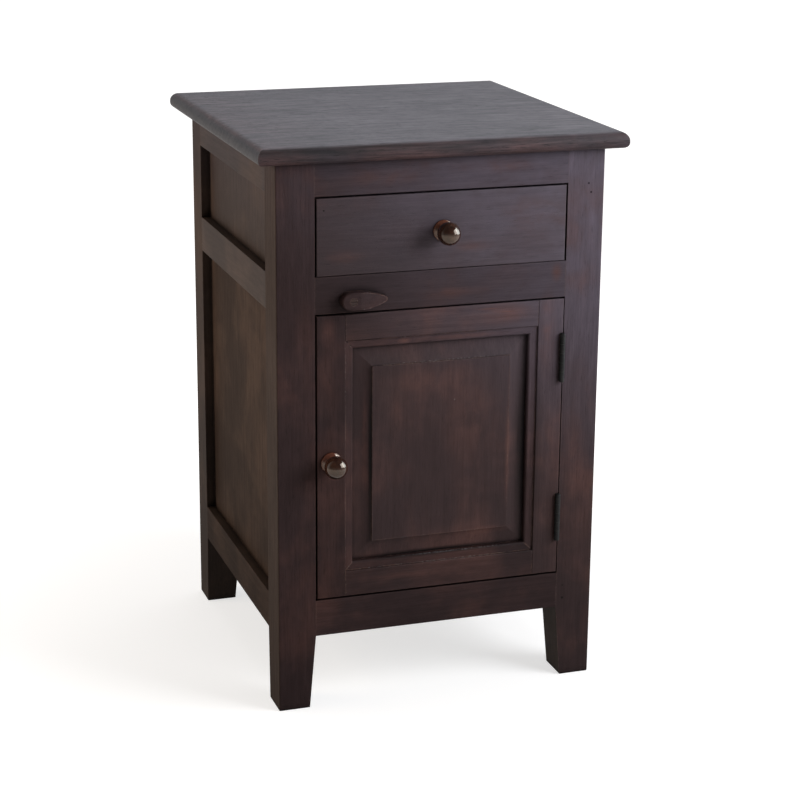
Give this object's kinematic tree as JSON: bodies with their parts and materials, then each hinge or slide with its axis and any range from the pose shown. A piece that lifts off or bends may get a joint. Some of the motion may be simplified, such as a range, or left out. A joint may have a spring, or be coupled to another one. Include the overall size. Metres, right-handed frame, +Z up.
{
  "type": "nightstand",
  "caption": "Dark stained wooden nightstand on tapered feet, with an inset drawer over a raised-panel door, ball knobs, butt hinges and a turn-button latch.",
  "frame": {"origin": "floor level, under the middle of the bounding box", "axes": "+Z up, +X to the right seen from the front, -Y out of the front"},
  "size_m": [0.458, 0.474, 0.7],
  "materials": {
    "stained_wood": "dark brown stain under a satin lacquer, open grain",
    "inner_wood": "thin brown stain, unpolished",
    "bronze": "polished antique bronze",
    "black_iron": "black, satin",
    "steel": "dull steel"
  },
  "bodies": {
    "case": {"back_bottom_rail": "stained_wood", "back_left_post": "stained_wood", "back_panel": "inner_wood", "back_right_post": "stained_wood", "back_top_rail": "stained_wood", "cabinet_floor": "inner_wood", "door_stop_strip": "inner_wood", "drawer_stops": "inner_wood", "front_bottom_rail": "stained_wood", "front_left_post": "stained_wood", "front_middle_rail": "stained_wood", "front_right_post": "stained_wood", "front_top_rail": "stained_wood", "hinge_post_screws": "steel", "left_bottom_rail": "stained_wood", "left_drawer_kicker": "inner_wood", "left_drawer_runner": "inner_wood", "left_floor_cleat": "inner_wood", "left_lower_panel": "stained_wood", "left_middle_rail": "stained_wood", "left_top_rail": "stained_wood", "left_upper_panel": "stained_wood", "lower_hinge_pin": "black_iron", "lower_hinge_post_leaf": "black_iron", "right_bottom_rail": "stained_wood", "right_drawer_kicker": "inner_wood", "right_drawer_runner": "inner_wood", "right_floor_cleat": "inner_wood", "right_lower_panel": "stained_wood", "right_middle_rail": "stained_wood", "right_top_rail": "stained_wood", "right_upper_panel": "stained_wood", "top_board": "stained_wood", "top_fixing_screws": "steel", "turn_button_screw": "steel", "upper_hinge_pin": "black_iron", "upper_hinge_post_leaf": "black_iron"},
    "drawer": {"drawer_front": "stained_wood", "drawer_left_side": "inner_wood", "drawer_right_side": "inner_wood", "drawer_back": "inner_wood", "drawer_bottom": "inner_wood", "drawer_knob": "bronze", "drawer_knob_screw": "steel"},
    "door": {"door_knob_stile": "stained_wood", "door_hinge_stile": "stained_wood", "door_top_rail": "stained_wood", "door_bottom_rail": "stained_wood", "door_panel": "stained_wood", "door_top_moulding": "stained_wood", "door_bottom_moulding": "stained_wood", "door_left_moulding": "stained_wood", "door_right_moulding": "stained_wood", "upper_hinge_door_leaf": "black_iron", "lower_hinge_door_leaf": "black_iron", "hinge_door_screws": "steel", "door_knob": "bronze", "door_knob_screw": "steel"},
    "turn_button": {"turn_button": "stained_wood"}
  },
  "joints": [
    {"name": "drawer_slide", "type": "slide", "parent": "case", "child": "drawer", "axis": [0, -1, 0], "range_m": [0, 0.26]},
    {"name": "door_swing", "type": "hinge", "parent": "case", "child": "door", "pos_m": [0.15545, -0.2058, 0.3195], "axis": [0, 0, 1], "range_deg": [0, 175]},
    {"name": "button_turn", "type": "hinge", "parent": "case", "child": "turn_button", "pos_m": [-0.114, -0.203, 0.5145], "axis": [0, 1, 0], "range_deg": [0, 90]}
  ]
}
